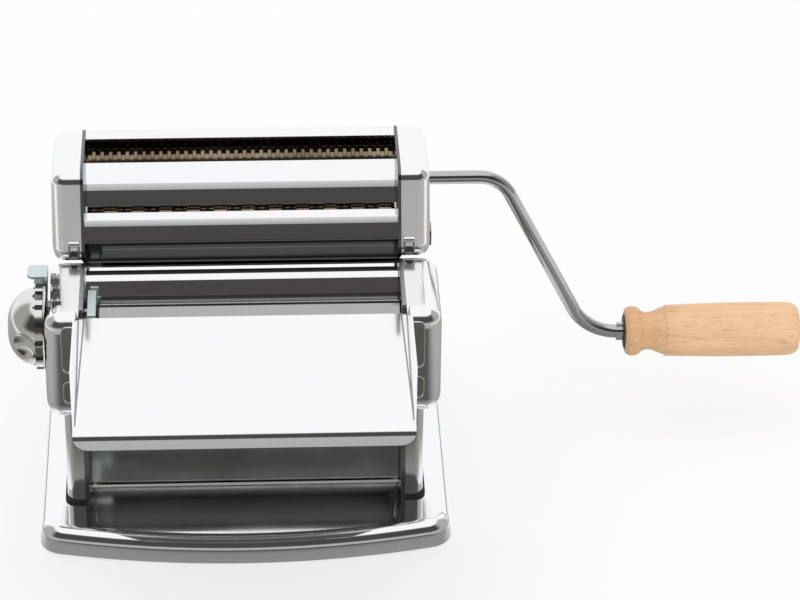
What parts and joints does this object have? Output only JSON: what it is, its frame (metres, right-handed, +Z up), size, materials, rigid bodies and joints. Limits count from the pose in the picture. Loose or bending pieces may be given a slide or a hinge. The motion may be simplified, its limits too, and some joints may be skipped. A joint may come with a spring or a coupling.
{
  "type": "pasta machine",
  "caption": "Hand cranked pasta machine with smooth sheet rollers, a notched thickness dial, a lift-off feed tray and a clip-on head of narrow and wide cutting rollers.",
  "frame": {"origin": "centre of the base, on the surface that the feet stand on", "axes": "+X along the rollers towards the crank side, +Y from the feed tray to the back, +Z up"},
  "size_m": [0.3824, 0.2467, 0.1575],
  "materials": {
    "chrome": "polished",
    "tray_steel": "polished",
    "roller_steel": "satin",
    "ring_steel": "satin",
    "zinc_plate": "satin",
    "frame_steel": "satin",
    "panel_steel": "satin",
    "gear_steel": "oiled",
    "bush_plastic": "matt",
    "rubber": "matt",
    "crank_steel": "polished",
    "beech": "lacquered",
    "dial_metal": "polished"
  },
  "bodies": {
    "root": {"base_plate": "chrome", "rubber_feet": "rubber", "right_side_frame": "frame_steel", "left_side_frame": "frame_steel", "right_side_cover": "chrome", "left_side_cover": "chrome", "leg_gaskets": "rubber", "tie_rods": "frame_steel", "frame_screws": "gear_steel", "rear_roller_bushes": "bush_plastic", "dial_bush": "bush_plastic", "pawl_bracket": "zinc_plate", "pawl_pin": "gear_steel", "pawl_spring": "gear_steel", "roller_scrapers": "panel_steel", "roller_guard": "chrome", "sheet_chute": "panel_steel", "rear_panel": "panel_steel", "cutter_guides": "zinc_plate"},
    "front_roller": {"front_roller": "roller_steel", "front_roller_gear": "gear_steel"},
    "rear_roller": {"rear_roller_shaft": "roller_steel", "rear_roller": "roller_steel", "rear_roller_gear": "gear_steel"},
    "roller_carriage": {"left_bearing_plate": "zinc_plate", "right_bearing_block": "bush_plastic"},
    "dial": {"thickness_dial": "dial_metal", "dial_spindle": "gear_steel", "dial_cam": "gear_steel"},
    "pawl": {"pawl": "zinc_plate"},
    "tray": {"feed_tray": "tray_steel"},
    "cutter_head": {"cutter_right_plate": "zinc_plate", "cutter_left_plate": "zinc_plate", "right_gear_case": "chrome", "left_gear_case": "chrome", "front_head_cover": "chrome", "ridge_head_cover": "chrome", "rear_head_cover": "chrome", "wide_combs": "panel_steel", "narrow_combs": "panel_steel", "head_bars": "frame_steel"},
    "narrow_driver": {"narrow_driver_roller": "ring_steel", "narrow_driver_gear": "gear_steel"},
    "narrow_driven": {"narrow_driven_roller": "ring_steel", "narrow_driven_gear": "gear_steel"},
    "wide_driver": {"wide_driver_roller": "ring_steel", "wide_driver_gear": "gear_steel"},
    "wide_driven": {"wide_driven_roller": "ring_steel", "wide_driven_gear": "gear_steel"},
    "crank": {"crank_rod": "crank_steel"},
    "handle": {"crank_handle": "beech"}
  },
  "joints": [
    {"name": "rear_roller_turn", "type": "hinge", "parent": "root", "child": "rear_roller", "pos_m": [0, -0.0068, 0.0965], "axis": [1, 0, 0], "continuous": true},
    {"name": "roller_gap", "type": "slide", "parent": "root", "child": "roller_carriage", "axis": [0, 1, 0], "range_m": [0, 0.002]},
    {"name": "front_roller_turn", "type": "hinge", "parent": "roller_carriage", "child": "front_roller", "pos_m": [0, -0.035, 0.0965], "axis": [1, 0, 0], "continuous": true},
    {"name": "dial_turn", "type": "hinge", "parent": "root", "child": "dial", "pos_m": [-0.0962, -0.034, 0.099], "axis": [-1, 0, 0], "range_deg": [0, 144]},
    {"name": "pawl_lift", "type": "hinge", "parent": "root", "child": "pawl", "pos_m": [-0.0906, -0.032, 0.123], "axis": [1, 0, 0], "range_deg": [0, 14], "stiffness_Nm_per_rad": 0.02, "springref_deg": -5.73},
    {"name": "tray_lift_off", "type": "slide", "parent": "root", "child": "tray", "axis": [0, 0, 1], "range_m": [0, 0.06]},
    {"name": "cutter_head_lift_off", "type": "slide", "parent": "root", "child": "cutter_head", "axis": [0, 0, 1], "range_m": [0, 0.05]},
    {"name": "narrow_driver_turn", "type": "hinge", "parent": "cutter_head", "child": "narrow_driver", "pos_m": [0, 0.0356, 0.1355], "axis": [1, 0, 0], "continuous": true},
    {"name": "narrow_driven_turn", "type": "hinge", "parent": "cutter_head", "child": "narrow_driven", "pos_m": [0, 0.05154, 0.13689], "axis": [1, 0, 0], "continuous": true},
    {"name": "wide_driver_turn", "type": "hinge", "parent": "cutter_head", "child": "wide_driver", "pos_m": [0, 0.0055, 0.1225], "axis": [1, 0, 0], "continuous": true},
    {"name": "wide_driven_turn", "type": "hinge", "parent": "cutter_head", "child": "wide_driven", "pos_m": [0, 0.0215, 0.1225], "axis": [1, 0, 0], "continuous": true},
    {"name": "crank_pull_out", "type": "slide", "parent": "narrow_driver", "child": "crank", "axis": [1, 0, 0], "range_m": [0, 0.03]},
    {"name": "handle_turn", "type": "hinge", "parent": "crank", "child": "handle", "pos_m": [0.2303, 0.0356, 0.0464], "axis": [1, 0, 0], "continuous": true}
  ],
  "couplings": [
    {"joint": "front_roller_turn", "follows": "rear_roller_turn", "ratio": -1},
    {"joint": "dial_turn", "follows": "roller_gap", "rad_per_m": 1256.6},
    {"joint": "narrow_driven_turn", "follows": "narrow_driver_turn", "ratio": -1},
    {"joint": "wide_driven_turn", "follows": "wide_driver_turn", "ratio": -1}
  ]
}
